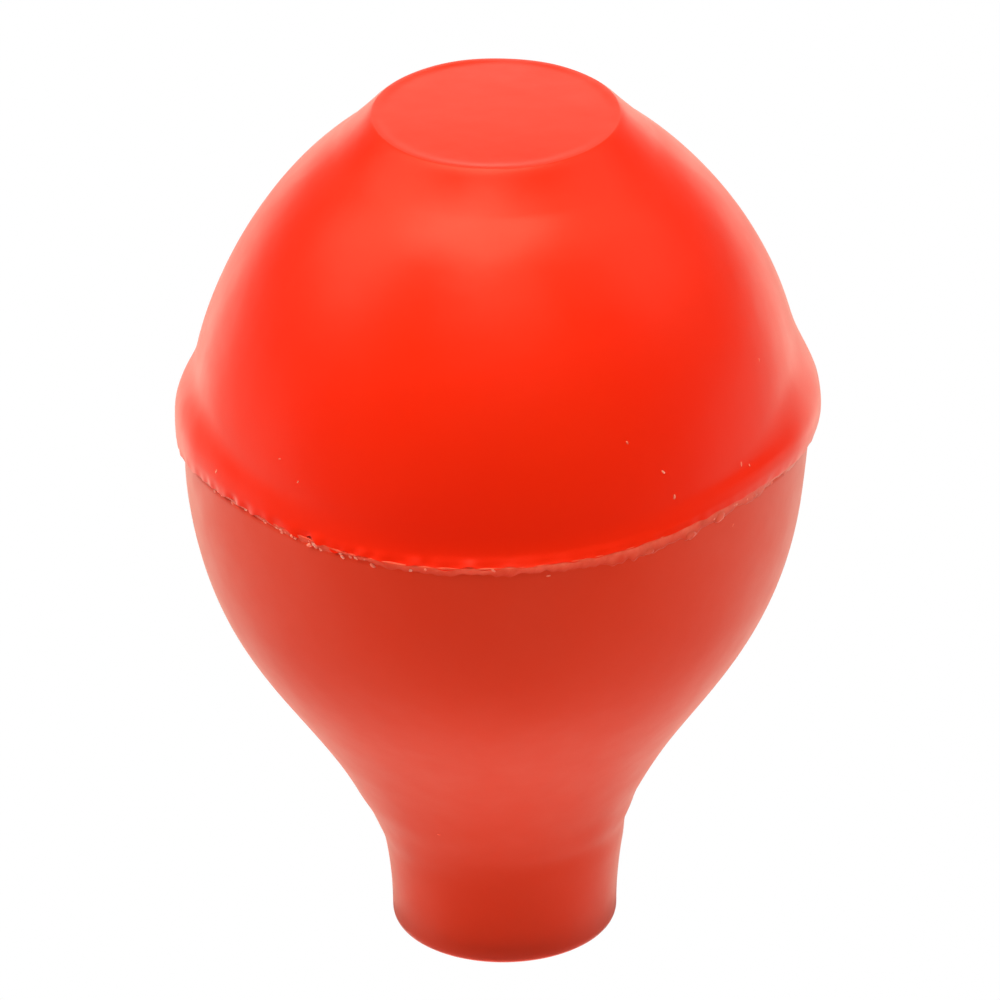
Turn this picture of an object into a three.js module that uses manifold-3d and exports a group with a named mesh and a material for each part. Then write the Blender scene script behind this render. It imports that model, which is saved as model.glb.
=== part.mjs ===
// Bobber float, 50 mm across: a bulb-shaped hollow body in two moulded shells, cemented together at the
// widest place, with a flat pad on its crown and a short open neck below. The neck holds a brass ballast
// weight and a wire line eye that turns in a plug, tucked up inside the mouth.
// Millimetres, +Z up along the float's axis. The origin is the centre of the neck's bottom rim.
import * as THREE from "three";
import { mergeVertices } from "three/addons/utils/BufferGeometryUtils.js";
import Module from "manifold-3d";

const wasm = await Module();
wasm.setup();

// Driving dimensions of the body. R is a radius about the axis and Z is a height above the neck's rim.
const RIM_R = 25.0; // the float's widest radius, on the upper shell's rolled rim
const SEAM_Z = 43.3; // height of the upper shell's lower edge
const HEIGHT = 70.4; // top of the crown pad
const GAP = 0.3; // clearance between pieces that touch

// Upper shell: rolled rim, dome and crown pad.
const LIP_R = 24.45; // lower edge of the rolled rim
const LIP_BEVEL = 0.2;
const RIM_Z = SEAM_Z + 1.6; // where the rim is widest
const RIM_TOP_R = 23.8; // where the rim meets the dome
const RIM_TOP_Z = SEAM_Z + 2.35;
const DOME_PULL_Z = SEAM_Z + 9.6; // the dome leaves the rim straight up, towards this height
const DOME_PUSH_R = 19.0; // and arrives at the pad from this point
const DOME_PUSH_Z = SEAM_Z + 19.7;
const PAD_FOOT_R = 10.5; // where the dome turns up into the pad's side
const PAD_FOOT_Z = SEAM_Z + 25.6;
const PAD_R = 9.65;
const PAD_EDGE = 0.7; // round on the pad's top edge
const DOME_WALL = 1.6;

// Lower shell: bowl and neck.
const BOWL_R = 23.9;
const BOWL_PULL_Z = 25.1; // the bowl comes straight down from the seam, towards this height
const NECK_PUSH_R = 15.6; // and meets the neck from this point
const NECK_PUSH_Z = 23.4;
const NECK_TOP_R = 10.05;
const NECK_TOP_Z = 9.7;
const NECK_R = 8.9;
const FOOT_ROUND = 0.9;
const BOWL_WALL = 2.6;

// Spigot joint between the shells: the lower shell's ring stands inside the upper shell.
const SPIGOT_R = 22.6;
const SPIGOT_WALL = 1.3;
const SPIGOT_TOP_Z = SEAM_Z + 3.0;
const SPIGOT_BEVEL = 0.5;

// Blind bore up the neck: a recess for the line eye, then a narrower socket for plug and ballast.
const RECESS_R = 6.9;
const MOUTH_BEVEL = 0.3;
const STEP_Z = 10.2; // the shoulder that the plug seats against
const SOCKET_R = 6.4;
const SOCKET_TOP_Z = 25.3;
const SOCKET_WALL = 1.5;
const SOCKET_FOOT_Z = 12.6; // bottom of the chamber, round the outside of the socket

// Cement squeezed out below the rolled rim.
const BEAD_WIDTH = 0.55;
const BEAD_DEPTH = 0.55;

// Pieces in the neck.
const PLUG_TOP_Z = 14.0;
const PLUG_FLANGE = 1.2;
const EDGE_BEVEL = 0.4;
const WIRE_R = 0.6; // the swivel eye is bent from 1.2 mm wire
const WIRE_BORE_R = 0.7; // a running clearance of 0.1 mm round the wire
const LOOP_R = 2.3; // middle of the wire, so the line passes a 3.4 mm hole
const LOOP_Z = 5.2;
const COLLAR_R = 1.15; // the wire's end, wound round the foot of the shank
const WASHER_R = 2.6;
const WASHER_THICK = 0.5;
const HEAD_R = 1.6;
const HEAD_THICK = 1.1;
const HEAD_POCKET_R = 3.2;
const HEAD_POCKET_DEPTH = 3.0;

// Sides of the turned solids, and steps along their curves.
const SHELL_SIDES = 48;
const SMALL_SIDES = 28;
const EYE_SIDES = 16;
const LONG_STEPS = 13;
const INNER_STEPS = 8;
const ROUND_STEPS = 3;

const point = (r, z) => new THREE.Vector2(r, z);

// Points along a cubic curve, from its start to its end, without the start itself.
function curve(start, pull, push, end, steps) {
  return new THREE.CubicBezierCurve(start, pull, push, end).getPoints(steps).slice(1);
}

// Points of a quarter round that leaves along one side of a corner and arrives along the other.
function round(start, corner, end, steps = ROUND_STEPS) {
  return new THREE.QuadraticBezierCurve(start, corner, end).getPoints(steps).slice(1);
}

// A solid of revolution about +Z. The outline goes down on the inside and up on the outside.
function turned(outline, sides = SHELL_SIDES) {
  return new THREE.LatheGeometry(outline, sides).rotateX(Math.PI / 2);
}

// A three.js geometry as a manifold-3d solid, and back.
function solidOf(geometry) {
  const bare = geometry.clone();
  bare.deleteAttribute("normal");
  bare.deleteAttribute("uv");
  const merged = mergeVertices(bare, 1e-4);
  return new wasm.Manifold(
    new wasm.Mesh({
      numProp: 3,
      vertProperties: merged.attributes.position.array,
      triVerts: new Uint32Array(merged.index.array),
    }),
  );
}

function geometryOf(solid) {
  const mesh = solid.getMesh();
  const geometry = new THREE.BufferGeometry();
  geometry.setAttribute("position", new THREE.BufferAttribute(mesh.vertProperties, 3));
  geometry.setIndex(new THREE.BufferAttribute(mesh.triVerts, 1));
  geometry.computeVertexNormals();
  return geometry;
}

// Upper shell: the outside runs from the lower edge, over the rolled rim and the dome, to the pad, and
// the inside runs back down to the ledge that stands clear of the spigot.
function upperShell() {
  const socketR = SPIGOT_R + GAP;
  const ledgeZ = SPIGOT_TOP_Z + GAP;
  const rimWidest = point(RIM_R, RIM_Z);
  const rimTop = point(RIM_TOP_R, RIM_TOP_Z);
  const padFoot = point(PAD_FOOT_R, PAD_FOOT_Z);
  const padSide = point(PAD_R, HEIGHT - PAD_EDGE);
  const padInnerR = PAD_R - DOME_WALL;
  const innerPad = point(padInnerR, PAD_FOOT_Z - DOME_WALL / 2);
  const innerLedge = point(RIM_TOP_R - DOME_WALL, ledgeZ);
  return turned([
    point(socketR, SEAM_Z),
    point(LIP_R - LIP_BEVEL, SEAM_Z),
    point(LIP_R, SEAM_Z + LIP_BEVEL),
    ...round(point(LIP_R, SEAM_Z + LIP_BEVEL), point(RIM_R, SEAM_Z + 2 * LIP_BEVEL), rimWidest),
    ...round(rimWidest, point(RIM_R, RIM_TOP_Z), rimTop),
    ...curve(rimTop, point(RIM_TOP_R, DOME_PULL_Z), point(DOME_PUSH_R, DOME_PUSH_Z), padFoot, LONG_STEPS),
    ...round(padFoot, point(PAD_R, PAD_FOOT_Z + DOME_WALL / 4), padSide, 2),
    ...round(padSide, point(PAD_R, HEIGHT), point(PAD_R - PAD_EDGE, HEIGHT)),
    point(0, HEIGHT),
    point(0, HEIGHT - DOME_WALL),
    point(padInnerR - DOME_WALL, HEIGHT - DOME_WALL),
    innerPad,
    ...curve(
      innerPad,
      point(DOME_PUSH_R - DOME_WALL, DOME_PUSH_Z - DOME_WALL / 2),
      point(innerLedge.x, DOME_PULL_Z),
      innerLedge,
      INNER_STEPS,
    ),
    point(socketR, ledgeZ),
    point(socketR, SEAM_Z),
  ]);
}

// Lower shell: from the bore's ceiling down the bore, round the foot, up the neck and bowl to the
// spigot, then down the chamber's wall and up the outside of the socket that stands in the chamber.
function lowerShell() {
  const shoulderZ = SEAM_Z - GAP;
  const neckFoot = point(NECK_R, FOOT_ROUND);
  const neckTop = point(NECK_TOP_R, NECK_TOP_Z);
  const spigotInR = SPIGOT_R - SPIGOT_WALL;
  const chamberTop = point(spigotInR, shoulderZ - SPIGOT_WALL);
  const socketOutR = SOCKET_R + SOCKET_WALL;
  const chamberFoot = point(socketOutR, SOCKET_FOOT_Z);
  const socketOutTop = SOCKET_TOP_Z + SOCKET_WALL;
  return turned([
    point(0, SOCKET_TOP_Z),
    point(SOCKET_R, SOCKET_TOP_Z),
    point(SOCKET_R, STEP_Z),
    point(RECESS_R, STEP_Z),
    point(RECESS_R, MOUTH_BEVEL),
    point(RECESS_R + MOUTH_BEVEL, 0),
    point(NECK_R - FOOT_ROUND, 0),
    ...round(point(NECK_R - FOOT_ROUND, 0), point(NECK_R, 0), neckFoot),
    ...curve(neckFoot, point(NECK_R, 3.8), point(NECK_TOP_R - 0.6, NECK_TOP_Z - 2.0), neckTop, ROUND_STEPS),
    ...curve(
      neckTop,
      point(NECK_PUSH_R, NECK_PUSH_Z),
      point(BOWL_R, BOWL_PULL_Z),
      point(BOWL_R, shoulderZ),
      LONG_STEPS,
    ),
    point(SPIGOT_R, shoulderZ),
    point(SPIGOT_R, SPIGOT_TOP_Z - SPIGOT_BEVEL),
    point(SPIGOT_R - SPIGOT_BEVEL, SPIGOT_TOP_Z),
    point(spigotInR, SPIGOT_TOP_Z),
    chamberTop,
    ...curve(
      chamberTop,
      point(BOWL_R - BOWL_WALL, BOWL_PULL_Z),
      point(NECK_PUSH_R - BOWL_WALL / 2, NECK_PUSH_Z + BOWL_WALL),
      chamberFoot,
      INNER_STEPS,
    ),
    point(socketOutR, socketOutTop - SPIGOT_BEVEL),
    point(socketOutR - SPIGOT_BEVEL, socketOutTop),
    point(0, socketOutTop),
  ]);
}

// The cement that was pressed out under the upper shell's edge when the shells were joined.
function seamBead() {
  const inR = BOWL_R + GAP;
  const top = SEAM_Z - GAP;
  return turned([
    point(inR, top),
    point(inR, top - BEAD_DEPTH),
    point(inR + BEAD_WIDTH, top - BEAD_DEPTH / 2),
    point(inR + BEAD_WIDTH, top),
    point(inR, top),
  ]);
}

// Ballast weight: a brass slug that fills the socket, with a pocket below for the swivel's head.
function ballastWeight() {
  const bottom = PLUG_TOP_Z + GAP;
  const top = SOCKET_TOP_Z - GAP;
  const r = SOCKET_R - GAP;
  return turned(
    [
      point(0, bottom + HEAD_POCKET_DEPTH),
      point(HEAD_POCKET_R, bottom + HEAD_POCKET_DEPTH),
      point(HEAD_POCKET_R, bottom),
      point(r - EDGE_BEVEL, bottom),
      point(r, bottom + EDGE_BEVEL),
      point(r, top - EDGE_BEVEL),
      point(r - EDGE_BEVEL, top),
      point(0, top),
    ],
    SMALL_SIDES,
  );
}

// Plug that closes the socket below the ballast, with a flange that seats against the bore's step.
function neckPlug() {
  const flangeR = RECESS_R - GAP;
  const flangeTop = STEP_Z - GAP;
  const flangeBottom = flangeTop - PLUG_FLANGE;
  const bodyR = SOCKET_R - GAP;
  return turned(
    [
      point(WIRE_BORE_R, PLUG_TOP_Z),
      point(WIRE_BORE_R, flangeBottom + EDGE_BEVEL),
      point(WIRE_BORE_R + EDGE_BEVEL, flangeBottom),
      point(flangeR - EDGE_BEVEL, flangeBottom),
      point(flangeR, flangeBottom + EDGE_BEVEL),
      point(flangeR, flangeTop),
      point(bodyR, flangeTop),
      point(bodyR, PLUG_TOP_Z - EDGE_BEVEL),
      point(bodyR - EDGE_BEVEL, PLUG_TOP_Z),
      point(WIRE_BORE_R, PLUG_TOP_Z),
    ],
    SMALL_SIDES,
  );
}

// Washer that the swivel's head turns on.
function thrustWasher() {
  const bottom = PLUG_TOP_Z + GAP;
  return turned(
    [
      point(WIRE_BORE_R, bottom + WASHER_THICK),
      point(WIRE_BORE_R, bottom),
      point(WASHER_R, bottom),
      point(WASHER_R, bottom + WASHER_THICK),
      point(WIRE_BORE_R, bottom + WASHER_THICK),
    ],
    SMALL_SIDES,
  );
}

// Line eye: a wire loop below, a straight shank up through the plug, and a riveted head above.
function swivelEye() {
  const headZ = PLUG_TOP_Z + GAP + WASHER_THICK + GAP;
  const shankFoot = LOOP_Z + LOOP_R - WIRE_R / 2;
  const collarTop = STEP_Z - GAP - PLUG_FLANGE - GAP;
  const headTop = headZ + HEAD_THICK;
  const loop = new THREE.TorusGeometry(LOOP_R, WIRE_R, 10, 24)
    .rotateX(Math.PI / 2)
    .translate(0, 0, LOOP_Z);
  const shank = turned(
    [
      point(0, shankFoot),
      point(COLLAR_R, shankFoot),
      point(COLLAR_R, collarTop),
      point(WIRE_R, collarTop),
      point(WIRE_R, headZ),
      point(HEAD_R, headZ),
      ...round(point(HEAD_R, headZ + WIRE_R / 2), point(HEAD_R, headTop), point(0, headTop)),
    ],
    EYE_SIDES,
  );
  return geometryOf(solidOf(loop).add(solidOf(shank)));
}

function finish(colour, roughness, metalness = 0) {
  return new THREE.MeshStandardMaterial({ color: colour, roughness, metalness });
}

const float = new THREE.Group();

function place(name, geometry, material) {
  const mesh = new THREE.Mesh(geometry, material);
  mesh.name = name;
  float.add(mesh);
}

const brass = finish(0xb08d4a, 0.35, 1);

place("upper_shell", upperShell(), finish(0xf03a1c, 0.38));
place("lower_shell", lowerShell(), finish(0xcb3a27, 0.5));
place("seam_bead", seamBead(), finish(0xe08a72, 0.55));
place("ballast_weight", ballastWeight(), brass);
place("neck_plug", neckPlug(), finish(0xe6e2d8, 0.55));
place("thrust_washer", thrustWasher(), brass);
place("swivel_eye", swivelEye(), finish(0xb9bcc0, 0.25, 1));

export default float;
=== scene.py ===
"""The looks of a bobber float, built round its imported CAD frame.

Every outline below is in millimetres, as a radius about the float's axis and a height above the neck's
rim. Meshes are written in metres. Angle 0 is +X, and the camera stands on the -Y side.
"""

import math

import bpy
import numpy as np
from mathutils import Matrix, Vector


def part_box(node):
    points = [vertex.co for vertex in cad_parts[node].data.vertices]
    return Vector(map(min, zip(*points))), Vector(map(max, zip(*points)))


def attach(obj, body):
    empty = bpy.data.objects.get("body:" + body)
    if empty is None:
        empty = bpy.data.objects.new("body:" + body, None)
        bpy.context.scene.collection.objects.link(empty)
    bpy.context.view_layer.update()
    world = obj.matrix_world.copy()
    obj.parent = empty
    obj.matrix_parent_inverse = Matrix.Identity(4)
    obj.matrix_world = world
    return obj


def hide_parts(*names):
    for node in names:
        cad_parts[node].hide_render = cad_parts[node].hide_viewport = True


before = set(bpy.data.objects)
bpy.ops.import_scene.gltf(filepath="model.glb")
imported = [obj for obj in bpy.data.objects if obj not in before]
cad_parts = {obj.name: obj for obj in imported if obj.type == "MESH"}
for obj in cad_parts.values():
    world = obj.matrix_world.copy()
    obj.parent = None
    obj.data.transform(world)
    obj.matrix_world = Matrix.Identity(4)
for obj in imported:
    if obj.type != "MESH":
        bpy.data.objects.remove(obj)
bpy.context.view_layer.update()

MM = 0.001

# ---------------------------------------------------------------- sizes, from the frame where it has them
upper_low, upper_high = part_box("upper_shell")
_, lower_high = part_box("lower_shell")
plug_low, plug_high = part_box("neck_plug")
ballast_low, ballast_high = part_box("ballast_weight")
washer_low, washer_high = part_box("thrust_washer")
_, eye_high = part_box("swivel_eye")

SEAM_Z = upper_low.z / MM
HEIGHT = upper_high.z / MM
BOWL_R = lower_high.x / MM
SPIGOT_TOP_Z = lower_high.z / MM

DOME_R = 23.8  # the dome where it meets the rim
SHELL_WALL = 1.6
SHOULDER_R = 24.22  # the bowl just below the rim
BOWL_NARROWS = 0.012  # per millimetre below the rim
NECK_R = 8.9
NECK_TOP_R = 10.05
NECK_TOP_Z = 9.7
RECESS_R = 6.9  # inside the neck, below the plug
STEP_Z = 10.2  # the step that the plug's flange meets
SOCKET_R = 6.4  # the ballast's socket
SOCKET_TOP_Z = 25.3
SOCKET_WALL = 1.5
SPIGOT_R = 22.6
SPIGOT_WALL = 1.3
SPIGOT_PLAY = 0.3  # between the spigot and the inside of the upper shell

PAD_R = 9.65
PAD_ROOT_R = 12.2  # where the dome starts to turn up to the pad
PAD_CROWN = 0.2  # how far the pad's top falls towards its edge
PAD_BEAD = 0.055  # how high the fine line round the pad's top stands
PAD_BEAD_R = 9.3
PAD_BEAD_WIDTH = 0.5
PAD_BEAD_RIPPLE = 0.02
PAD_TILT = 0.25  # how much lower the pad's front edge is than its middle
PAD_SINK = 0.27  # how far the whole pad has sunk
PAD_FADE = (6.5, 0.4)  # the pad's sink and tilt begin and are full at these depths below the crown

SIDES = 480
LIP_SIDES = 600
SMALL_SIDES = 160


# ---------------------------------------------------------------- outlines
def bezier(start, pull, push, end, count):
    """Points along a cubic curve, without its start."""
    t = np.linspace(0, 1, count + 1)[1:, None]
    a, b, c, d = (np.array(p, float) for p in (start, pull, push, end))
    return (1 - t) ** 3 * a + 3 * (1 - t) ** 2 * t * b + 3 * (1 - t) * t**2 * c + t**3 * d


def corner(start, at, end, count=6):
    """Points round a corner, without its start."""
    t = np.linspace(0, 1, count + 1)[1:, None]
    a, b, c = (np.array(p, float) for p in (start, at, end))
    return (1 - t) ** 2 * a + 2 * (1 - t) * t * b + t**2 * c


def line(start, end, count):
    """Points along a straight stretch, without its start."""
    t = np.linspace(0, 1, count + 1)[1:, None]
    return np.array(start, float) * (1 - t) + np.array(end, float) * t


def outline(*parts):
    """One outline from single points and runs of points."""
    return np.vstack([np.atleast_2d(np.array(p, float)) for p in parts])


def smooth(t):
    """0 to 1 with no corner at either end."""
    t = np.clip(t, 0, 1)
    return t * t * t * (t * (6 * t - 15) + 10)


def ripple(angle, seed, lowest, highest, size):
    """A repeatable uneven line round the float: waves from lowest to highest per turn, size mm rms."""
    rng = np.random.default_rng(seed)
    total = np.zeros_like(angle)
    weight = 0.0
    for k in range(lowest, highest + 1):
        share = 1 / math.sqrt(k)
        total += share * np.cos(k * angle + rng.uniform(0, 2 * math.pi))
        weight += share * share / 2
    return total * size / math.sqrt(weight)


# ---------------------------------------------------------------- meshes
def new_object(name, vertices, faces, material, sharp_deg=None):
    """A mesh object from points in millimetres."""
    mesh = bpy.data.meshes.new(name)
    mesh.from_pydata((np.asarray(vertices) * MM).tolist(), [], faces)
    mesh.validate()
    mesh.shade_smooth()
    if sharp_deg:
        mesh.set_sharp_from_angle(angle=math.radians(sharp_deg))
    mesh.materials.append(material)
    made = bpy.data.objects.new(name, mesh)
    bpy.context.scene.collection.objects.link(made)
    return made


def revolved(rings, closed):
    """Vertices and faces of rings stacked into a surface. A ring is an array of points, or one point at
    a pole. Rings run up the outside and down the inside; closed joins the last to the first."""
    vertices, starts = [], []
    for ring in rings:
        starts.append(len(vertices))
        vertices.extend(ring)
    faces = []
    count = len(rings)
    for i in range(count if closed else count - 1):
        j = (i + 1) % count
        a, b, m, n = starts[i], starts[j], len(rings[i]), len(rings[j])
        sides = max(m, n)
        for k in range(sides):
            q = (k + 1) % sides
            if m == 1:
                faces.append((a, b + q, b + k))
            elif n == 1:
                faces.append((a + k, a + q, b))
            else:
                faces.append((a + k, a + q, b + q, b + k))
    return vertices, faces


def turned(name, points, material, closed=False, sides=SMALL_SIDES, shape=None, sharp_deg=35):
    """A turned piece. shape(angle, r, z) may move each ring's points, and gives (x offset, r, z)."""
    angle = np.linspace(0, 2 * math.pi, sides, endpoint=False)
    rings = []
    for r, z in points:
        shift, radius, height = shape(angle, r, z) if shape else (0.0, r, z)
        if r < 1e-6:
            rings.append([(float(shift), 0.0, float(np.mean(height)))])
            continue
        x = radius * np.cos(angle) + shift
        y = radius * np.sin(angle)
        rings.append(np.column_stack([x, y, np.broadcast_to(height, x.shape)]))
    vertices, faces = revolved(rings, closed)
    return new_object(name, vertices, faces, material, sharp_deg)


# ---------------------------------------------------------------- the body's unevenness
SEAM_TILT = 0.38  # the seam stands this much higher on the +X side, and lower on the other
SEAM_ARCH = (1.3, 1.8)  # how far it arches up between front and side, on the -X side and the +X side
SEAM_FRONT = 0.3  # how much higher it runs at the front and back
SEAM_RIPPLE = 0.07
SEAM_FADE = 5.0  # height over which the shells take up the seam's unevenness

# How far the moulding's axis drifts towards +X, and the heights where it does.
LEAN_HEIGHTS = (0.0, 7.0, 10.0, 13.0, 20.0, 38.0, 46.0, 58.0, 66.0, 71.0)
LEAN_SHIFTS = (0.02, 0.06, -0.2, -0.42, -0.5, -0.38, -0.1, 0.1, 0.0, 0.0)

# The rim is a soft flare, taller and bolder at the sides. Each value is for the front and back, the -X
# side and the +X side: how far it stands out, how tall it is, how high its widest place is, and how far
# its lower edge tucks in.
RIM_REACH = (0.36, 1.22, 1.25)
RIM_TALL = (3.2, 6.8, 9.3)
RIM_WIDEST = (0.5, 1.5, 1.8)
RIM_TUCK = (0.02, 0.2, 0.3)
RIM_RIPPLE = 0.03
LIP_KICK = 0.38  # the lip kicks out once more near its edge, most at the front
LIP_TALL = 0.9

# Angles round the float, in radians like the spreads below.
FRONT = math.radians(270)
RAGGED_AT = math.radians(232)  # where the lip is most ragged and holds the most crumbs of cement
SMEARED_AT = math.radians(300)  # where the cement is smeared down the bowl in a film

RAGGED = (0.03, 0.1)  # how ragged the lip is all round, and how much more at RAGGED_AT
RAGGED_SPREAD = 0.6
RAG_TALL = 0.8  # the lip's uneven edge fades out this far above it
NICK_TALL = 1.0  # and its nicks this far

# The two shells' slow ripples, and how far each turns per millimetre of height.
DOME_RIPPLE, DOME_TWIST = 0.02, 0.02
BOWL_RIPPLE, BOWL_TWIST = 0.03, 0.03
BOWL_FADE = (1.5, 7.5)  # the bowl's ripple begins and is full at these heights, so its foot stays true


def lean(z):
    """How far the axis has drifted at a height."""
    place = np.interp(z, LEAN_HEIGHTS, np.arange(len(LEAN_HEIGHTS)))
    low = np.clip(np.floor(place).astype(int), 0, len(LEAN_HEIGHTS) - 2)
    shifts = np.array(LEAN_SHIFTS)
    return shifts[low] + (shifts[low + 1] - shifts[low]) * smooth(place - low)


def seam_height(angle):
    """The seam's height at each angle, less SEAM_Z."""
    left, right = SEAM_ARCH
    facing = np.cos(angle)
    arch = np.where(facing < 0, left, right) * np.sin(2 * angle) ** 2 * facing**2
    front = SEAM_FRONT * np.sin(angle) ** 2
    return SEAM_TILT * facing + arch + front + ripple(angle, 11, 2, 7, SEAM_RIPPLE)


def by_side(angle, values):
    """A value that changes smoothly from the front's to a side's, mostly close to the side."""
    front, left, right = values
    facing = np.cos(angle)
    side = np.where(facing < 0, left, right)
    return front + (side - front) * facing**6


def near(angle, place, width):
    """1 at an angle round the float, falling to 0 away from it."""
    away = np.remainder(angle - place + math.pi, 2 * math.pi) - math.pi
    return np.exp(-((away / width) ** 2))


def rim_flare(angle, above):
    """How far the rim stands out of the dome, at a height above its lip."""
    side = np.cos(angle) ** 2
    reach = by_side(angle, RIM_REACH) + ripple(angle, 21, 3, 40, RIM_RIPPLE)
    tall = by_side(angle, RIM_TALL)
    widest = by_side(angle, RIM_WIDEST)
    climb = np.clip((tall - above) / (tall - widest), 0, 1)
    rise = side * smooth(climb) + (1 - side) * climb**3
    low = np.clip(1 - above / widest, 0, 1)
    tuck = by_side(angle, RIM_TUCK)
    kick = LIP_KICK * (1 - side) ** 2 * np.clip(1 - above / LIP_TALL, 0, 1) ** 2
    return reach * rise + kick - tuck * low**2


def upper_shape(angle, r, z):
    """An upper shell point's drift, radius and height at each angle. The walls round the spigot stay
    true."""
    above = z - SEAM_Z
    fade = 1 - smooth(above / SEAM_FADE)
    ragged = RAGGED[0] + RAGGED[1] * near(angle, RAGGED_AT, RAGGED_SPREAD)
    rag = ragged * ripple(angle, 41, 30, 110, 1.0) * (1 - smooth(above / RAG_TALL))
    on_bead = math.exp(-(((r - PAD_BEAD_R) / PAD_BEAD_WIDTH) ** 2))
    bead = on_bead * ripple(angle, 45, 1, 9, PAD_BEAD_RIPPLE)
    deepest, shallowest = PAD_FADE
    on_crown = smooth((z - HEIGHT + deepest) / (deepest - shallowest))
    crown = (PAD_TILT * (r / PAD_R) * np.sin(angle) - PAD_SINK + bead) * on_crown
    height = z + (seam_height(angle) + rag) * fade + crown
    fits_spigot = r < SPIGOT_R + 0.5 and above < 4
    if fits_spigot:
        return lean(z), r * np.ones_like(angle), height
    uneven = ripple(angle + DOME_TWIST * z, 31, 2, 5, DOME_RIPPLE) * min(1, r / DOME_R)
    nicks = ragged * ripple(angle, 43, 40, 130, 0.5) * (1 - smooth(above / NICK_TALL))
    return lean(z), r + rim_flare(angle, above) + uneven + nicks, height


def bowl_ripple(angle, z):
    """How far the bowl wanders out at an angle and a height."""
    return ripple(angle + BOWL_TWIST * z, 51, 2, 6, BOWL_RIPPLE)


def lower_shape(angle, r, z):
    """A lower shell point's drift, radius and height at each angle. The ballast's socket stays true."""
    fade = 1 - smooth(abs(SEAM_Z - z) / SEAM_FADE)
    height = z + seam_height(angle) * fade
    outside = r > SOCKET_R + SOCKET_WALL + 0.2
    begins, full = BOWL_FADE
    uneven = bowl_ripple(angle, z) * smooth((z - begins) / (full - begins)) * outside
    return lean(z) * outside, r + uneven, height


# ---------------------------------------------------------------- materials
DUST_TINT = (1.0, 0.9, 0.8, 1)


def node_material(name):
    """A material with its node tree, its Principled shader and the object's own coordinates."""
    material = bpy.data.materials.new(name)
    material.use_nodes = True
    tree = material.node_tree
    shader = next(n for n in tree.nodes if n.type == "BSDF_PRINCIPLED")
    place = tree.nodes.new("ShaderNodeTexCoord").outputs["Object"]
    return material, tree, shader, place


def noise(tree, place, per_mm, detail=3.0, rough=0.5, stretch=None):
    """Noise with about per_mm features in a millimetre."""
    if stretch:
        mapping = tree.nodes.new("ShaderNodeMapping")
        mapping.inputs["Scale"].default_value = stretch
        tree.links.new(place, mapping.inputs["Vector"])
        place = mapping.outputs["Vector"]
    node = tree.nodes.new("ShaderNodeTexNoise")
    node.inputs["Scale"].default_value = per_mm / MM
    node.inputs["Detail"].default_value = detail
    node.inputs["Roughness"].default_value = rough
    tree.links.new(place, node.inputs["Vector"])
    return node.outputs["Fac"]


def remap(tree, value, low, high, to_low, to_high):
    """A value moved from one range to another, and held inside it."""
    node = tree.nodes.new("ShaderNodeMapRange")
    node.inputs["From Min"].default_value = low
    node.inputs["From Max"].default_value = high
    node.inputs["To Min"].default_value = to_low
    node.inputs["To Max"].default_value = to_high
    tree.links.new(value, node.inputs["Value"])
    return node.outputs["Result"]


def blend_colours(tree, factor, first, second):
    """A colour between two, by factor. Either colour may be a socket."""
    node = tree.nodes.new("ShaderNodeMix")
    node.data_type = "RGBA"
    tree.links.new(factor, node.inputs["Factor"])
    sockets = [s for s in node.inputs if s.type == "RGBA"]
    for socket, colour in zip(sockets, (first, second)):
        if isinstance(colour, tuple):
            socket.default_value = (*colour, 1)
        else:
            tree.links.new(colour, socket)
    return next(s for s in node.outputs if s.type == "RGBA")


def add_bump(tree, shader, heights):
    """Bump from (height socket, depth in mm) pairs."""
    normal = None
    for value, depth in heights:
        node = tree.nodes.new("ShaderNodeBump")
        node.inputs["Distance"].default_value = depth * MM
        tree.links.new(value, node.inputs["Height"])
        if normal:
            tree.links.new(normal, node.inputs["Normal"])
        normal = node.outputs["Normal"]
    tree.links.new(normal, shader.inputs["Normal"])


def moulded_plastic(name, colour, deeper, bloom, bloom_range, roughness, specular, soft, dust):
    """Coloured plastic with slow colour drift, a faint pale bloom and a fine moulded skin."""
    material, tree, shader, place = node_material(name)
    drift = remap(tree, noise(tree, place, 0.045), 0.3, 0.7, 0, 1)
    body = blend_colours(tree, drift, colour, deeper)
    cloud = noise(tree, place, 0.11, detail=5, rough=0.6, stretch=(1, 1, 0.7))
    haze = remap(tree, cloud, 0.35, 0.75, *bloom_range)
    tree.links.new(blend_colours(tree, haze, body, bloom), shader.inputs["Base Color"])
    shine = remap(tree, noise(tree, place, 0.35, detail=6), 0.3, 0.7, *roughness)
    tree.links.new(shine, shader.inputs["Roughness"])
    shader.inputs["Specular IOR Level"].default_value = specular
    shader.inputs["Sheen Weight"].default_value = dust
    shader.inputs["Sheen Roughness"].default_value = 0.5
    shader.inputs["Sheen Tint"].default_value = DUST_TINT
    shader.inputs["Subsurface Weight"].default_value = soft
    shader.inputs["Subsurface Radius"].default_value = (1.0, 0.25, 0.12)
    shader.inputs["Subsurface Scale"].default_value = 1.2 * MM
    add_bump(
        tree,
        shader,
        [
            (noise(tree, place, 0.22, detail=2), 0.06),
            (noise(tree, place, 4.0, detail=3), 0.004),
        ],
    )
    return material


upper_plastic = moulded_plastic(
    "upper_plastic",
    colour=(0.88, 0.0185, 0.0006),
    deeper=(0.86, 0.014, 0.0003),
    bloom=(0.95, 0.12, 0.04),
    bloom_range=(0.0, 0.014),
    roughness=(0.33, 0.39),
    specular=0.5,
    soft=0.06,
    dust=0.11,
)
lower_plastic = moulded_plastic(
    "lower_plastic",
    colour=(0.71, 0.037, 0.0105),
    deeper=(0.68, 0.032, 0.0085),
    bloom=(0.8, 0.16, 0.1),
    bloom_range=(0.0, 0.05),
    roughness=(0.41, 0.49),
    specular=0.5,
    soft=0.06,
    dust=0.16,
)


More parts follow.
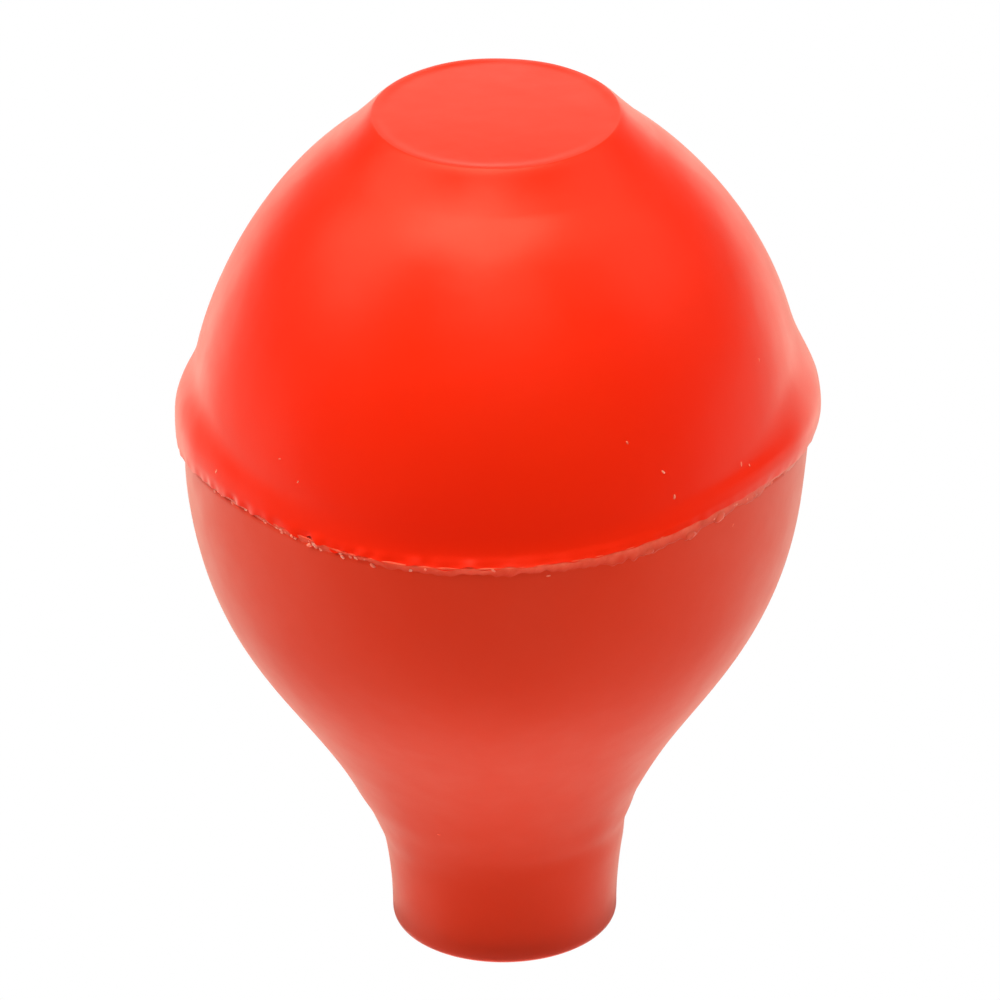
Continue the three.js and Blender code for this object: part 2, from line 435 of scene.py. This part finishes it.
def cement_material(name, darker, paler, fading=None):
    """Cloudy cement. With fading, it turns to that colour where the mesh's "pale" value falls to 0."""
    material, tree, shader, place = node_material(name)
    cloud = remap(tree, noise(tree, place, 1.1, detail=4), 0.3, 0.7, 0, 1)
    colour = blend_colours(tree, cloud, darker, paler)
    if fading:
        pale = tree.nodes.new("ShaderNodeAttribute")
        pale.attribute_name = "pale"
        colour = blend_colours(tree, remap(tree, pale.outputs["Fac"], 0, 0.75, 0, 1), fading, colour)
    tree.links.new(colour, shader.inputs["Base Color"])
    tree.links.new(remap(tree, cloud, 0, 1, 0.38, 0.5), shader.inputs["Roughness"])
    shader.inputs["Sheen Weight"].default_value = 0.16
    shader.inputs["Sheen Tint"].default_value = DUST_TINT
    shader.inputs["Subsurface Weight"].default_value = 0.25
    shader.inputs["Subsurface Radius"].default_value = (1.0, 0.4, 0.25)
    shader.inputs["Subsurface Scale"].default_value = 0.5 * MM
    add_bump(tree, shader, [(noise(tree, place, 3.0, detail=4), 0.03)])
    return material


def metal_material(name, colour, roughness, scratch):
    """Metal with darker stains and fine tool marks, stretched by scratch."""
    material, tree, shader, place = node_material(name)
    stain = remap(tree, noise(tree, place, 0.8, detail=5), 0.35, 0.75, 0, 1)
    darker = tuple(c * 0.72 for c in colour)
    tree.links.new(blend_colours(tree, stain, colour, darker), shader.inputs["Base Color"])
    shader.inputs["Metallic"].default_value = 1.0
    shine = remap(tree, noise(tree, place, 2.0, detail=4), 0.3, 0.7, *roughness)
    tree.links.new(shine, shader.inputs["Roughness"])
    add_bump(tree, shader, [(noise(tree, place, 6.0, detail=2, stretch=scratch), 0.006)])
    return material


def nylon_material():
    """Cloudy off-white nylon for the plug, soft under the surface."""
    material, tree, shader, place = node_material("plug_nylon")
    cloud = remap(tree, noise(tree, place, 0.5, detail=4), 0.3, 0.7, 0, 1)
    colour = blend_colours(tree, cloud, (0.78, 0.75, 0.67), (0.7, 0.66, 0.57))
    tree.links.new(colour, shader.inputs["Base Color"])
    tree.links.new(remap(tree, cloud, 0, 1, 0.42, 0.58), shader.inputs["Roughness"])
    shader.inputs["Subsurface Weight"].default_value = 0.25
    shader.inputs["Subsurface Radius"].default_value = (1.0, 0.9, 0.7)
    shader.inputs["Subsurface Scale"].default_value = 0.8 * MM
    add_bump(tree, shader, [(noise(tree, place, 1.2, detail=4), 0.02)])
    return material


seam_cement = cement_material(
    "seam_cement", darker=(0.8, 0.06, 0.024), paler=(0.93, 0.13, 0.07), fading=(0.7, 0.036, 0.0105)
)
pale_fleck = cement_material("pale_fleck", darker=(0.9, 0.1, 0.05), paler=(0.95, 0.32, 0.22))
plug_nylon = nylon_material()
brass_metal = metal_material("turned_brass", (0.72, 0.5, 0.22), (0.22, 0.38), (1, 1, 8))
steel_metal = metal_material("wire_steel", (0.66, 0.67, 0.69), (0.16, 0.3), (6, 6, 1))


# ---------------------------------------------------------------- upper shell
def upper_outline():
    """The upper shell from its lip, over the crown, and back down inside to its lip."""
    rim_heights = (0, 0.02, 0.06, 0.12, 0.2, 0.3, 0.42, 0.56, 0.72, 0.9, 1.1, 1.35, 1.65)
    rim = [(DOME_R, SEAM_Z + h) for h in rim_heights]
    wall_top = (DOME_R, SEAM_Z + 2.0)
    dome = bezier(wall_top, (DOME_R, SEAM_Z + 9.5), (19.25, SEAM_Z + 19.85), (9.55, SEAM_Z + 26.1), 84)
    dome = dome[dome[:, 0] > PAD_ROOT_R]
    slope_top = (PAD_R + 0.5, HEIGHT - 0.72)
    slope = corner(dome[-1], (PAD_R + 1.45, HEIGHT - 1.75), slope_top, 14)
    r = np.concatenate([np.linspace(PAD_BEAD_R + 0.2, PAD_BEAD_R - 1, 13), np.linspace(8, 0, 14)])
    bead = PAD_BEAD * np.exp(-(((r - PAD_BEAD_R) / PAD_BEAD_WIDTH) ** 2))
    top = np.column_stack([r, HEIGHT - PAD_CROWN * (r / PAD_R) ** 2 + bead])
    edge = corner(slope_top, (PAD_R + 0.12, HEIGHT - 0.3), top[0], 6)
    outer = outline(*rim, wall_top, dome, slope, edge, top)

    ceiling = HEIGHT - SHELL_WALL
    inside_pad = (PAD_R - SHELL_WALL, SEAM_Z + 24.8)
    inside_r = DOME_R - SHELL_WALL
    inside_foot = (inside_r, SPIGOT_TOP_Z + SPIGOT_PLAY)
    inner = outline(
        (0, ceiling),
        line((0, ceiling), (PAD_R - 2 * SHELL_WALL, ceiling), 2),
        inside_pad,
        bezier(inside_pad, (17.4, SEAM_Z + 18.9), (inside_r, SEAM_Z + 9.6), inside_foot, 16),
        (SPIGOT_R + SPIGOT_PLAY, SPIGOT_TOP_Z + SPIGOT_PLAY),
        (SPIGOT_R + SPIGOT_PLAY, SEAM_Z),
    )
    return np.vstack([inner, outer])


upper = turned(
    "upper_shell_skin", upper_outline(), upper_plastic, sides=LIP_SIDES, shape=upper_shape, sharp_deg=None
)
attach(upper, "float_body")
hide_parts("upper_shell")


# ---------------------------------------------------------------- lower shell
def lower_outline():
    """The lower shell from its closed socket down the bore, up the outside and back down the chamber."""
    shoulder = SEAM_Z - 0.06
    foot = 0.9  # the round at the neck's foot
    ease = 0.45  # and at its mouth
    bore = outline(
        (0, SOCKET_TOP_Z),
        (SOCKET_R, SOCKET_TOP_Z),
        line((SOCKET_R, SOCKET_TOP_Z), (SOCKET_R, STEP_Z), 6),
        (RECESS_R, STEP_Z),
        line((RECESS_R, STEP_Z), (RECESS_R, 0.5), 12),
        corner((RECESS_R, 0.5), (RECESS_R + 0.05, 0.05), (RECESS_R + ease, 0), 5),
    )
    skirt = outline(
        line((RECESS_R + ease, 0), (NECK_R - foot, 0), 2),
        corner((NECK_R - foot, 0), (NECK_R, 0), (NECK_R, foot), 8),
        bezier((NECK_R, foot), (NECK_R, 3.8), (9.25, 7.72), (NECK_TOP_R, NECK_TOP_Z), 24),
        bezier((NECK_TOP_R, NECK_TOP_Z), (15.6, 23.4), (BOWL_R, 25.1), (SHOULDER_R, shoulder), 80),
    )
    spigot = outline(
        (SPIGOT_R, shoulder),
        (SPIGOT_R, SPIGOT_TOP_Z - 0.5),
        (SPIGOT_R - 0.5, SPIGOT_TOP_Z),
        (SPIGOT_R - SPIGOT_WALL, SPIGOT_TOP_Z),
    )
    chamber_top = (SPIGOT_R - SPIGOT_WALL, SEAM_Z - 1.6)
    out = SOCKET_R + SOCKET_WALL
    chamber = outline(
        chamber_top,
        bezier(chamber_top, (21.3, 25.1), (14.3, 26.0), (out, 12.6), 20),
        (out, SOCKET_TOP_Z + 1.0),
        (out - 0.5, SOCKET_TOP_Z + SOCKET_WALL),
        (0, SOCKET_TOP_Z + SOCKET_WALL),
    )
    return outline(bore, skirt, spigot, chamber)


lower = turned(
    "lower_shell_skin", lower_outline(), lower_plastic, sides=SIDES, shape=lower_shape, sharp_deg=None
)
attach(lower, "float_body")
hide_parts("lower_shell")


# ---------------------------------------------------------------- seam cement
CEMENT_RUN = (0.36, 0.22, 0.5)  # how far it runs down all round, more in front, and more in the film
FRONT_SPREAD = 0.9
FILM_SPREAD = 0.55
CEMENT_RUN_LIMITS = (0.25, 1.4)
CEMENT_THICK = (0.04, 0.02)  # its thickness, and how much that varies
CEMENT_TOP = 0.04  # its top is this far above the seam
CEMENT_BACK = 0.05  # and this far in from the lip
CEMENT_ROOT = 0.25  # its hidden side is this deep in the bowl
CEMENT_SUNK = 0.03  # its lower edge and its dabs sink this far into the bowl, so that they fade out
PALEST_AT = SMEARED_AT - 0.17
PALE_SPREAD = 0.6
PALENESS = (0.35, 0.65)  # how pale the cement is all round, and how much more at PALEST_AT
DAB_PALENESS = 0.4


def on_bowl(angle, drop, proud):
    """A point just below the seam: drop mm under it, proud mm out of the bowl."""
    z = SEAM_Z + seam_height(angle) - drop
    r = SHOULDER_R + bowl_ripple(angle, z) + proud - BOWL_NARROWS * drop
    return np.array([r * np.cos(angle) + lean(z), r * np.sin(angle), z])


def cement_line():
    """The thin ragged line of cement pressed out under the rim, smeared into a film in one place. Gives
    its vertices and faces, and how pale each vertex is."""
    angle = np.linspace(0, 2 * math.pi, 2 * SIDES, endpoint=False)
    slow = ripple(angle, 61, 2, 9, 1.0)
    rough = ripple(angle, 62, 9, 50, 1.0) + ripple(angle, 64, 60, 200, 0.5)
    film = near(angle, SMEARED_AT, FILM_SPREAD)
    all_round, in_front, in_film = CEMENT_RUN
    even = all_round + in_front * near(angle, FRONT, FRONT_SPREAD) + in_film * film
    run = np.clip(even + 0.04 * slow + (0.08 + 0.06 * film) * rough, *CEMENT_RUN_LIMITS)
    usual, varied = CEMENT_THICK
    thick = np.clip(usual + varied * ripple(angle, 63, 12, 50, 1.0), 0.02, 0.1)
    overhang = DOME_R + rim_flare(angle, 0.0) - SHOULDER_R - CEMENT_BACK
    paleness = PALENESS[0] + PALENESS[1] * near(angle, PALEST_AT, PALE_SPREAD)
    rings, pale = [], []
    for step in np.linspace(0, 1, 14):
        fillet = overhang * (1 - step) ** 1.3
        proud = fillet + thick * (1 - step) * step**0.3 - CEMENT_SUNK * step**4
        rings.append(on_bowl(angle, run * step - CEMENT_TOP, proud).T)
        pale.append((1 - step) * paleness)
    for step in (1, 0):
        rings.append(on_bowl(angle, run * step - 3 * CEMENT_TOP, -CEMENT_ROOT).T)
        pale.append(0 * angle)
    return revolved(rings[::-1], closed=True), np.concatenate(pale[::-1])


def lump(rng, centre, outward, size, flat):
    """A small uneven lump, size mm across, pressed flat against the surface it lies on."""
    rows, sides = 5, 8
    side = Vector((0, 0, 1)).cross(Vector(outward)).normalized()
    up = Vector(outward).cross(side)
    lean_by = rng.uniform(-0.5, 0.5)
    stretch = rng.uniform(0.7, 1.5)
    points = []
    for row in range(rows + 1):
        rise = -math.pi / 2 + math.pi * row / rows
        ring = []
        for k in range(1 if row in (0, rows) else sides):
            turn = 2 * math.pi * k / sides
            reach = 0.5 * size * rng.uniform(0.75, 1.15)
            a = reach * math.cos(rise) * math.cos(turn) * stretch
            b = reach * math.cos(rise) * math.sin(turn) + lean_by * a
            c = reach * math.sin(rise) * flat
            ring.append(tuple(Vector(centre) + a * side + b * up + c * Vector(outward)))
        points.append(ring)
    return revolved(points, closed=False)


def joined(shapes):
    """One list of vertices and faces from several."""
    vertices, faces = [], []
    for more, sides in shapes:
        start = len(vertices)
        vertices.extend(tuple(v) for v in more)
        faces.extend(tuple(start + i for i in face) for face in sides)
    return vertices, faces


def lump_on_bowl(rng, angle, drop, proud, size, flat):
    """A lump at a place on the bowl that on_bowl() describes."""
    outward = (math.cos(angle), math.sin(angle), 0)
    return lump(rng, on_bowl(angle, drop, proud), outward, size, flat)


# Thin dabs of cement under the rim: the angle in degrees, how far below the seam, and the size.
DABS = (
    (222, 0.25, 0.4),
    (231, 0.3, 0.45),
    (298, 0.8, 0.8),
    (307, 0.85, 1.0),
    (310, 0.3, 0.7),
    (314, 0.5, 1.2),
    (324, 0.35, 0.8),
    (60, 0.5, 0.8),
    (140, 0.4, 0.6),
)


def cement_dabs():
    """The dabs, pressed flat on the bowl."""
    rng = np.random.default_rng(91)
    shapes = []
    for degrees, drop, size in DABS:
        shapes.append(lump_on_bowl(rng, math.radians(degrees), drop, -CEMENT_SUNK, size, flat=0.2))
    return joined(shapes)


CRUMB_COUNT = 170
CRUMB_SIZES = (0.14, 0.28)
CRUMB_SPREAD = 0.5

# The largest crumbs: the angle in degrees, how far below the seam, how far out of the bowl, and the size.
CRUMBS = (
    (230, 0.2, 0.2, 0.24),
    (234, 0.36, 0.16, 0.34),
    (241, 0.36, 0.12, 0.28),
    (244, 0.16, 0.22, 0.2),
    (247, 0.56, 0.03, 0.34),
    (257, 0.2, 0.16, 0.26),
    (269, 0.12, 0.18, 0.3),
)


def cement_crumbs():
    """Crumbs of cement close under the rim, most of them on the -X side of the front."""
    rng = np.random.default_rng(71)
    shapes = []
    for degrees, drop, proud, size in CRUMBS:
        shapes.append(lump_on_bowl(rng, math.radians(degrees), drop, proud, size, flat=0.6))
    while len(shapes) < CRUMB_COUNT:
        angle = rng.uniform(0, 2 * math.pi)
        close = near(angle, RAGGED_AT, CRUMB_SPREAD)
        if rng.uniform() > 0.25 + 0.75 * close:
            continue
        drop = 0.05 + abs(rng.normal(0, 0.2))
        size = rng.uniform(*CRUMB_SIZES) * (1 + 0.5 * float(close))
        shapes.append(lump_on_bowl(rng, angle, drop, 0.0, size, flat=0.5))
    return joined(shapes)


FLECK_WIDE = 0.22  # of its length, to each side
FLECK_THICK = 0.045

# Flecks stuck to the shells: the angle in degrees, the height, the length and how far it leans.
FLECKS = (
    (295, 52.1, 0.34, -0.5),
    (302, 49.2, 0.42, -0.7),
    (304, 47.0, 0.45, 0.1),
    (321, 47.3, 0.4, 0.1),
    (323, 46.9, 0.28, 0.0),
    (333, 53.7, 0.3, 0.4),
    (225, 49.0, 0.3, 1.2),
    (230, 47.8, 0.25, 0.2),
    (208, 45.4, 0.4, 0.3),
    (279, 42.6, 0.36, 1.5),
    (318, 42.7, 0.3, 1.0),
    (246, 12.8, 0.34, 1.5),
    (62, 50.5, 0.4, 0.8),
    (118, 33.0, 0.35, 0.2),
    (155, 55.0, 0.3, 1.1),
)


def fleck(rng, surface, degrees, height, length, lean_by):
    """A small flat flake on a shell, where a ray from the axis meets it."""
    facing = math.radians(degrees)
    outward = Vector((math.cos(facing), math.sin(facing), 0))
    axis = Vector((float(lean(height)), 0, height))
    found, hit, normal, _ = surface.ray_cast((axis + 40 * outward) * MM, -outward)
    if not found:
        raise ValueError("A fleck misses its shell.")
    along = Vector((-outward.y, outward.x, 0)) * math.sin(lean_by) + Vector((0, 0, 1)) * math.cos(lean_by)
    across = normal.cross(along).normalized()
    along = across.cross(normal)
    rows, sides = 5, 10
    rings = []
    for row in range(rows + 1):
        rise = -math.pi / 2 + math.pi * row / rows
        ring = []
        for k in range(1 if row in (0, rows) else sides):
            turn = 2 * math.pi * k / sides
            reach = math.cos(rise) * rng.uniform(0.85, 1.1)
            point = hit / MM + 0.5 * length * reach * math.cos(turn) * along
            point += FLECK_WIDE * length * reach * math.sin(turn) * across
            point += FLECK_THICK * math.sin(rise) * normal
            ring.append(tuple(point))
        rings.append(ring)
    return revolved(rings, closed=False)


def fleck_shapes():
    """All the flecks, each on the shell that its height puts it on."""
    rng = np.random.default_rng(81)
    shapes = []
    for degrees, height, length, lean_by in FLECKS:
        surface = upper if height > SEAM_Z + 1 else lower
        shapes.append(fleck(rng, surface, degrees, height, length, lean_by))
    return joined(shapes)


flecks = new_object("pale_flecks", *joined([fleck_shapes(), cement_crumbs()]), pale_fleck)
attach(flecks, "float_body")

line_mesh, line_pale = cement_line()
dab_mesh = cement_dabs()
dab_pale = np.full(len(dab_mesh[0]), DAB_PALENESS)
cement = new_object("seam_cement", *joined([line_mesh, dab_mesh]), seam_cement)
cement_pale = np.concatenate([line_pale, dab_pale])
cement.data.attributes.new("pale", "FLOAT", "POINT").data.foreach_set("value", cement_pale)
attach(cement, "float_body")
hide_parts("seam_bead")


# ---------------------------------------------------------------- the line gear in the neck
def tube(path, radius, sides):
    """A round wire along a path of points, with slightly rounded ends."""
    path = [Vector(p) for p in path]
    across = Vector((0, 1, 0))
    rings = []
    for i, point in enumerate(path):
        ahead = (path[min(i + 1, len(path) - 1)] - path[max(i - 1, 0)]).normalized()
        side = ahead.cross(across).normalized()
        over = side.cross(ahead)
        rings.append(
            [
                tuple(point + radius * (math.cos(t) * side + math.sin(t) * over))
                for t in np.linspace(0, 2 * math.pi, sides, endpoint=False)
            ]
        )
    for end, inward in ((0, 1), (-1, -2)):
        ahead = (path[end] - path[inward]).normalized()
        centre = path[end] + 0.25 * radius * ahead
        ring = [tuple(centre + 0.8 * (Vector(p) - path[end])) for p in rings[end]]
        cap = [tuple(path[end] + 0.3 * radius * ahead)]
        rings = [cap, ring, *rings] if end == 0 else [*rings, ring, cap]
    return revolved(rings, closed=False)


def lathe(points, sides=SMALL_SIDES, closed=False):
    """Vertices and faces of a turned shape, for joining to others."""
    angle = np.linspace(0, 2 * math.pi, sides, endpoint=False)
    rings = []
    for r, z in points:
        if r < 1e-6:
            rings.append([(0.0, 0.0, z)])
        else:
            rings.append([(r * math.cos(t), r * math.sin(t), z) for t in angle])
    return revolved(rings, closed)


WIRE_R = 0.6
BORE_R = 0.7  # the hole in the plug and the washer
LOOP_R = 2.3
LOOP_Z = 5.2
LOOP_OPENS = math.radians(62)  # where the loop's round part ends, above level
COLLAR_R = 1.15
COLLAR_RINGS = 4
COLLAR_GROOVE = 0.1


def eye_shape():
    """A wire eye: a teardrop loop whose two ends meet in a crimped sleeve, a shank and a riveted head."""
    low, high = plug_low.z / MM, eye_high.z / MM
    collar_z = low - 0.35
    loop = []
    for turn in np.linspace(LOOP_OPENS, -math.pi - LOOP_OPENS, 72):
        loop.append((LOOP_R * math.cos(turn), 0, LOOP_Z + LOOP_R * math.sin(turn)))
    legs = []
    for way in (1, -1):
        foot = np.array([way * LOOP_R * math.cos(LOOP_OPENS), 0, LOOP_Z + LOOP_R * math.sin(LOOP_OPENS)])
        pull = foot + 0.45 * np.array([-way * math.sin(LOOP_OPENS), 0, math.cos(LOOP_OPENS)])
        top = np.array([way * 0.18, 0, collar_z - 0.1])
        t = np.linspace(0, 1, 9)[1:, None]
        legs.append((1 - t) ** 2 * foot + 2 * t * (1 - t) * pull + t**2 * top)
    path = [*reversed(legs[0].tolist()), *loop, *legs[1].tolist()]
    shank = [(0, 0, z) for z in np.linspace(collar_z - 0.9, high - 0.6, 14)]
    sleeve = [
        (0, collar_z - 0.95),
        (COLLAR_R - 0.25, collar_z - 0.95),
        (COLLAR_R - 0.08, collar_z - 0.85),
    ]
    for ring in range(COLLAR_RINGS):
        foot = collar_z - 0.75 + 0.24 * ring
        sleeve += [(COLLAR_R, foot), (COLLAR_R, foot + 0.14), (COLLAR_R - COLLAR_GROOVE, foot + 0.19)]
    sleeve += [(COLLAR_R - 0.3, collar_z + 0.25), (0, collar_z + 0.25)]
    head_r, head_z = 1.6, high - 1.1
    head = outline(
        (0, head_z),
        (head_r - 0.12, head_z),
        (head_r, head_z + 0.12),
        (head_r, head_z + 0.4),
        corner((head_r, head_z + 0.4), (head_r - 0.1, high - 0.05), (0.55, high), 9),
        (0.45, high - 0.06),
        (0, high - 0.08),
    )
    return joined([tube(path, WIRE_R, 20), tube(shank, WIRE_R, 24), lathe(sleeve, 40), lathe(head, 48)])


def ribs(r, low, high, count, depth):
    """A wall with shallow round ribs between two heights."""
    z = np.linspace(low, high, 8 * count + 1)
    wave = 0.5 - 0.5 * np.cos(2 * math.pi * count * (z - low) / (high - low))
    return np.column_stack([r - depth * (1 - wave), z])


def plug_outline():
    """The plug from its bore, over the ring recess in its flange, up its ribbed body and back."""
    low, high = plug_low.z / MM, plug_high.z / MM
    flange = low + 1.2
    out = plug_high.x / MM
    body = 6.1
    return outline(
        (BORE_R, high),
        (BORE_R, low + 0.25),
        corner((BORE_R, low + 0.25), (BORE_R, low), (BORE_R + 0.25, low), 4),
        (1.75, low),
        corner((1.75, low), (2.0, low), (2.05, low + 0.2), 4),
        (2.15, low + 0.55),
        corner((2.15, low + 0.55), (2.2, low + 0.7), (2.45, low + 0.7), 4),
        (4.5, low + 0.7),
        corner((4.5, low + 0.7), (4.8, low + 0.7), (4.85, low + 0.45), 4),
        (4.95, low + 0.2),
        corner((4.95, low + 0.2), (5.0, low), (5.25, low), 4),
        (out - 0.3, low),
        corner((out - 0.3, low), (out, low), (out, low + 0.3), 5),
        (out, flange - 0.12),
        (out - 0.12, flange),
        (body, flange),
        ribs(body, flange + 0.3, high - 0.7, 4, 0.12),
        (body - 0.35, high - 0.05),
        (body - 0.5, high),
    )


EJECTOR_MARKS = 3
EJECTOR_AT_R = 3.45
GATE_AT_R = 3.6


def moved(shape, r, degrees):
    """A shape moved sideways by r, at an angle."""
    vertices, faces = shape
    turn = math.radians(degrees)
    x, y = r * math.cos(turn), r * math.sin(turn)
    return [(vx + x, vy + y, vz) for vx, vy, vz in vertices], faces


def plug_shape():
    """The moulded plug: a ribbed body, a flange with a ring recess, its gate mark and ejector marks."""
    face = plug_low.z / MM + 0.7
    shapes = [lathe(plug_outline(), closed=True)]
    disc = outline(
        (0, face - 0.06),
        (0.55, face - 0.06),
        (0.62, face - 0.01),
        (0.62, face + 0.1),
        (0, face + 0.1),
    )
    for k in range(EJECTOR_MARKS):
        shapes.append(moved(lathe(disc, 32), EJECTOR_AT_R, 40 + 360 * k / EJECTOR_MARKS))
    gate = outline((0, face - 0.22), (0.22, face - 0.2), (0.3, face + 0.1), (0, face + 0.1))
    shapes.append(moved(lathe(gate, 20), GATE_AT_R, 100))
    return joined(shapes)


def ballast_outline():
    """The slug, with a pocket in its underside and shallow ribs low on its side."""
    low, high, r = ballast_low.z / MM, ballast_high.z / MM, ballast_high.x / MM
    pocket_r, depth = 3.2, 3.0
    return outline(
        (0, high),
        (0, low + depth + 0.5),
        (pocket_r - 0.3, low + depth),
        (pocket_r, low + depth - 0.3),
        (pocket_r, low + 0.25),
        (pocket_r + 0.25, low),
        (r - 0.45, low),
        (r, low + 0.45),
        ribs(r, low + 1.2, low + 3.2, 3, 0.12),
        (r, high - 0.45),
        (r - 0.45, high),
        (0.9, high),
        (0.7, high - 0.1),
    )


def washer_outline():
    """The washer, with its edges broken."""
    low, high, r = washer_low.z / MM, washer_high.z / MM, washer_high.x / MM
    return outline(
        (BORE_R, high - 0.08),
        (BORE_R, low + 0.08),
        (BORE_R + 0.08, low),
        (r - 0.14, low),
        (r, low + 0.14),
        (r, high - 0.14),
        (r - 0.14, high),
        (BORE_R + 0.08, high),
    )


plug = new_object("neck_plug_moulding", *plug_shape(), plug_nylon, sharp_deg=35)
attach(plug, "float_body")
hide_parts("neck_plug")

ballast = turned("ballast_slug", ballast_outline(), brass_metal)
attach(ballast, "float_body")
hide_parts("ballast_weight")

washer = turned("thrust_washer_ring", washer_outline(), brass_metal, closed=True)
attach(washer, "float_body")
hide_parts("thrust_washer")

eye = new_object("line_eye", *eye_shape(), steel_metal, sharp_deg=40)
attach(eye, "line_swivel")
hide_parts("swivel_eye")


# ---------------------------------------------------------------- stage, lights and camera
SHADOW_R = (9.0, 10.6)  # the shadow ring's inside and outside
SHADOW_Z = -0.04  # just under the foot of the neck

WARM = (1.0, 0.97, 0.66)
PALE = (1.0, 1.0, 0.82)

CAMERA_DISTANCE = 0.718  # metres, from the seam's centre
CAMERA_HEIGHT_DEG = 26.75
CAMERA_LENS = 333.0
CAMERA_ROLL_DEG = 0.64
AIM_DROP = 0.00581  # metres below the seam's centre, across the line of sight


def contact_shadow():
    """A dark ring round the neck's foot, which shades it as a floor would. The camera doesn't see it."""
    material, _, shader, _ = node_material("shaded_paper")
    shader.inputs["Base Color"].default_value = (0.35, 0.3, 0.28, 1)
    shader.inputs["Roughness"].default_value = 0.9
    ring = lathe([(r, SHADOW_Z) for r in SHADOW_R])
    made = new_object("contact_shadow", *ring, material)
    made.visible_camera = False


def studio_world():
    """A white backdrop that only the camera sees, so it gives no light and no reflections."""
    world = bpy.data.worlds.new("studio")
    bpy.context.scene.world = world
    world.use_nodes = True
    tree = world.node_tree
    background = next(n for n in tree.nodes if n.type == "BACKGROUND")
    background.inputs["Color"].default_value = (1, 1, 1, 1)
    seen = tree.nodes.new("ShaderNodeLightPath").outputs["Is Camera Ray"]
    tree.links.new(remap(tree, seen, 0, 1, 0.0, 1.0), background.inputs["Strength"])


def softbox(name, place, size, glow, colour=(1, 1, 1), diffuse=True, glossy=True):
    """A rectangular soft light aimed at the seam's centre. Its place and size are in metres, and glow is
    its brightness. Without diffuse it shows only in reflections, and without glossy never in them."""
    data = bpy.data.lights.new(name, "AREA")
    data.shape = "RECTANGLE"
    data.size, data.size_y = size
    data.energy = glow * math.pi * size[0] * size[1]
    data.color = colour
    made = bpy.data.objects.new(name, data)
    bpy.context.scene.collection.objects.link(made)
    target = Vector((0, 0, SEAM_Z * MM))
    made.location = place
    made.rotation_euler = (target - Vector(place)).to_track_quat("-Z", "Y").to_euler()
    made.visible_camera = False
    made.visible_diffuse = diffuse
    made.visible_glossy = glossy
    data.cycles.use_multiple_importance_sampling = glossy


def camera():
    """The camera in front of the float and above it, rolled a little."""
    height = math.radians(CAMERA_HEIGHT_DEG)
    ahead = Vector((0, math.cos(height), -math.sin(height)))
    upward = Vector((0, math.sin(height), math.cos(height)))
    centre = Vector((0, 0, SEAM_Z * MM))
    place = centre - CAMERA_DISTANCE * ahead
    back = (place - (centre - AIM_DROP * upward)).normalized()
    roll = math.radians(CAMERA_ROLL_DEG)
    right = (Vector((1, 0, 0)) * math.cos(roll) - upward * math.sin(roll)).normalized()
    top = back.cross(right).normalized()
    right = top.cross(back)
    data = bpy.data.cameras.new("camera")
    data.lens = CAMERA_LENS
    data.sensor_width = 36
    made = bpy.data.objects.new("camera", data)
    bpy.context.scene.collection.objects.link(made)
    turn = Matrix((right, top, back)).transposed().to_4x4()
    made.matrix_world = Matrix.Translation(place) @ turn
    bpy.context.scene.camera = made


contact_shadow()
studio_world()

# Boxes light the float and show in it, cards only show in it, and the fills and the bounce only light it.
softbox("top_box", (-0.1, -0.08, 1.2), (0.8, 0.9), 2.95, WARM)
softbox("left_box", (-0.9, 0.05, 0.95), (0.9, 0.9), 1.3, WARM)
softbox("right_box", (0.9, 0.05, 0.95), (0.9, 0.9), 0.7, WARM)
softbox("back_box", (0, 1.2, 0.3), (1.2, 0.9), 0.85, PALE)
softbox("back_card", (0, 1.3, -0.5), (2.2, 1.6), 1.0, PALE, diffuse=False)
softbox("under_card", (0, 0.1, -0.4), (0.5, 0.5), 0.42, PALE, diffuse=False)
softbox("left_card", (-1.0, 1.3, -0.45), (0.65, 0.8), 1.1, PALE, diffuse=False)
softbox("right_card", (1.05, 1.2, -0.35), (0.65, 0.8), 1.15, PALE, diffuse=False)
softbox("left_side_card", (-1.25, 0.4, -0.45), (1.4, 1.1), 0.5, PALE, diffuse=False)
softbox("right_side_card", (1.25, 0.4, -0.45), (1.4, 1.1), 0.5, PALE, diffuse=False)
softbox("front_card", (0.05, -0.7, 1.0), (0.8, 0.45), 1.0, WARM, diffuse=False)
softbox("left_fill", (-0.9, 0.0, 0.95), (0.9, 0.9), 5.2, glossy=False)
softbox("right_fill", (0.9, 0.0, 0.95), (0.9, 0.9), 4.8, glossy=False)
softbox("front_fill", (0, -1.2, 0.3), (1.2, 0.9), 2.1, glossy=False)
softbox("back_fill", (0, 1.2, 0.3), (1.2, 0.9), 1.0, glossy=False)
softbox("bounce", (0, 0, -0.5), (1.2, 1.2), 2.42, glossy=False)

camera()
bpy.context.scene.view_settings.view_transform = "Standard"
